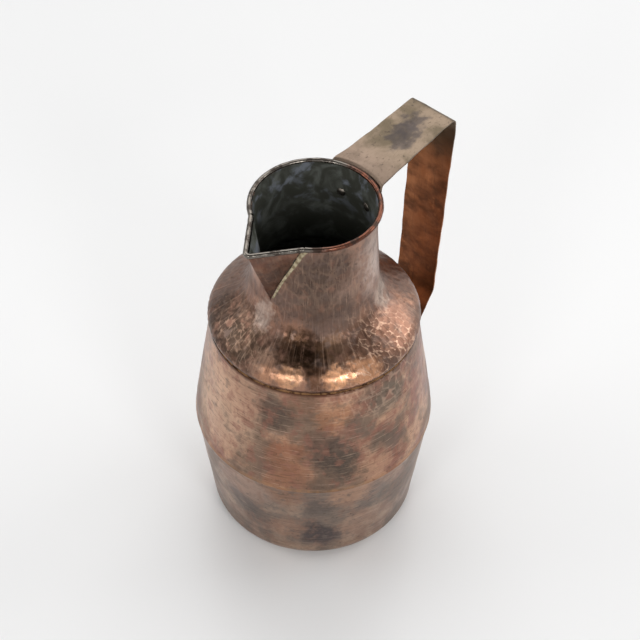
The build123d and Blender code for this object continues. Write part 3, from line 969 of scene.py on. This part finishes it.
def strap_handle():
    """One strap bent to a squared loop, with its ends curved round the neck and the cup.

    A flat grid is laid along the strap's path, row by row, and then given its thickness.
    """
    clear_r = RIM_R + BEAD_R + BEAD_CLEARANCE
    corners = [
        (neck_r(UPPER_FLANGE[0]), UPPER_FLANGE[0]),
        WAIST,
        (neck_r(UPPER_FLANGE[1]), UPPER_FLANGE[1]),
        (clear_r, RIM_Z - 2 * BEAD_R),
        (clear_r, HANDLE_TOP_Z),
        (LEVEL_TO_X, HANDLE_TOP_Z),
        CORNER,
        KNEE,
        (cup_r(LOWER_FLANGE[1]) + STRAP_T, LOWER_FLANGE[1]),
        (cup_r(LOWER_FLANGE[0]) + STRAP_T, LOWER_FLANGE[0]),
    ]
    bends = [
        WAIST_BEND, OFFSET_BEND, OFFSET_BEND, 2 * STRAP_T, WAIST_BEND,
        CORNER_BEND, KNEE_BEND, FLANGE_BEND,
    ]
    path = rounded_path(corners, bends, FINE)
    bpy.ops.object.select_all(action="DESELECT")
    bpy.ops.mesh.primitive_grid_add(x_subdivisions=len(path) - 1, y_subdivisions=STRAP_COLUMNS, size=1)
    piece = named("strap_handle")
    grid = corners_of(piece)
    rows = np.round((grid[:, 0] + 0.5) * (len(path) - 1)).astype(int)
    across = grid[:, 1] * 2
    xs = np.array([x for x, z in path])[rows]
    zs = np.array([z for x, z in path])[rows]
    widths = np.array([half_width(x, z) for x, z in path])
    waves = np.array([sin(i * 0.11) + 0.6 * sin(i * 0.31 + 2) for i in range(len(path))])
    y = across * (widths + EDGE_WANDER * waves)[rows]
    by_neck = 1 - smooth_step(xs, clear_r, WAISTED_X)
    by_cup = 1 - smooth_step(zs, LOWER_FLANGE[1], KNEE[1] - KNEE_BEND)
    near_body = np.where(zs > KNEE[1], by_neck, by_cup)
    sagitta = xs - np.sqrt(np.maximum(xs ** 2 - y ** 2, 0))
    places = np.column_stack([xs - near_body * sagitta, y, zs])
    move_corners(piece, places)
    turn_outwards(piece)
    up = piece.data.polygons[0].normal.x < 0
    finish_modifier(piece, "SOLIDIFY", thickness=STRAP_T, offset=-1 if up else 1)
    finish_modifier(
        piece, "BEVEL", width=BENT_EDGE, segments=2, limit_method="ANGLE", angle_limit=radians(60)
    )
    turn_outwards(piece)
    places = corners_of(piece)
    free = smooth_step(places[:, 0], clear_r + STRAP_T, LEVEL_TO_X + 6 * MM)
    weigh(piece, "struck", free)
    dent(piece, "struck", *STRAP_DENTS)
    shade(piece)
    piece.data.materials.append(STRAP_SKIN)
    stands_for(piece, "aged_copper", "handle_strap")
    return piece


# ---------------------------------------------------------------- floor, light and camera


def make_floor():
    """A wide pale glossy board under the jug."""
    bpy.ops.mesh.primitive_plane_add(size=FLOOR_SIZE, location=(0, 0, 0))
    floor = named("pale_floor")
    board, shader = plain_finish("white_acrylic_board", "#EBEBEB", 0.3, 0.0)
    floor.data.materials.append(board)


def towards(azimuth, elevation):
    """Direction from the jug at an azimuth and an elevation, in degrees."""
    a, e = radians(azimuth), radians(elevation)
    return Vector((sin(a) * cos(e), -cos(a) * cos(e), sin(e)))


def make_camera():
    """Camera above and in front of the spout's right side."""
    right = towards(CAMERA_AZIMUTH + 90, 0)
    aim = Vector((0, 0, AIM_HEIGHT)) + right * AIM_RIGHT
    back = towards(CAMERA_AZIMUTH, CAMERA_ELEVATION)
    bpy.ops.object.camera_add(location=aim + back * CAMERA_DISTANCE)
    camera = bpy.context.object
    camera.data.lens = LENS
    roll = Euler((0, 0, radians(CAMERA_ROLL))).to_quaternion()
    camera.rotation_euler = ((-back).to_track_quat("-Z", "Y") @ roll).to_euler()
    bpy.context.scene.camera = camera


def make_softbox(name, azimuth, elevation, distance, width, height, power):
    """A rectangular area light that faces the jug."""
    back = towards(azimuth, elevation)
    bpy.ops.object.light_add(type="AREA", location=Vector((0, 0, AIM_HEIGHT)) + back * distance)
    light = bpy.context.object
    light.name = name
    light.data.shape = "RECTANGLE"
    light.data.size = width
    light.data.size_y = height
    light.data.energy = power
    light.rotation_euler = (-back).to_track_quat("-Z", "Y").to_euler()


def make_light():
    """A pale room, dimmer high up in front, with soft boxes round the jug and two small ones in front."""
    world = bpy.data.worlds.new("pale_room")
    world.use_nodes = True
    background = world.node_tree.nodes["Background"]
    background.inputs["Color"].default_value = colour("#FFFFFF")
    place = add_node(world, "ShaderNodeTexCoord", output="Generated")
    height = add_node(world, "ShaderNodeSeparateXYZ", {0: place}, "Z")
    front = towards(CAMERA_AZIMUTH, DIM_ELEVATION)
    facing = add_node(world, "ShaderNodeVectorMath", {0: place, 1: front}, "Value", operation="DOT_PRODUCT")
    sky = add_node(world, "ShaderNodeMapRange", {"Value": height, **between(0.1, 0.9, 0.72, 0.5)}, **EASED)
    dim = add_node(world, "ShaderNodeMapRange", {"Value": facing, **between(0.9, 0.97, 1, 0.12)}, **EASED)
    strength = add_node(world, "ShaderNodeMath", {0: sky, 1: dim}, operation="MULTIPLY")
    world.node_tree.links.new(strength, background.inputs["Strength"])
    bpy.context.scene.world = world
    for name, (turn, *rest) in SOFTBOXES.items():
        make_softbox(name, CAMERA_AZIMUTH + turn, *rest)


CUTTER = notch_cutter()
lower_cup()
upper_cone()
shoulder_and_neck()
bpy.data.objects.remove(CUTTER)
strap_handle()
folded_spout()
for side in ("left", "right"):
    seam = "spout_braze_" + side
    softened("seam_braze_" + side, seam, "brass_braze", 0.22 * MM, 3, BRAZE_DENTS, SEAM_BRAZE)
    for rivet, node in (("neck_rivet_", "upper_rivet_"), ("cup_rivet_", "lower_rivet_")):
        softened(rivet + side, node + side, "copper_rivet", 0.25 * MM, 6, RIVET_DENTS, RIVET_SKIN)
belly_seam()
groove_seam()
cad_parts["rim_wire"].data.materials.clear()
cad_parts["rim_wire"].data.materials.append(BEAD)

make_floor()
make_camera()
make_light()
bpy.context.scene.view_settings.view_transform = "Standard"
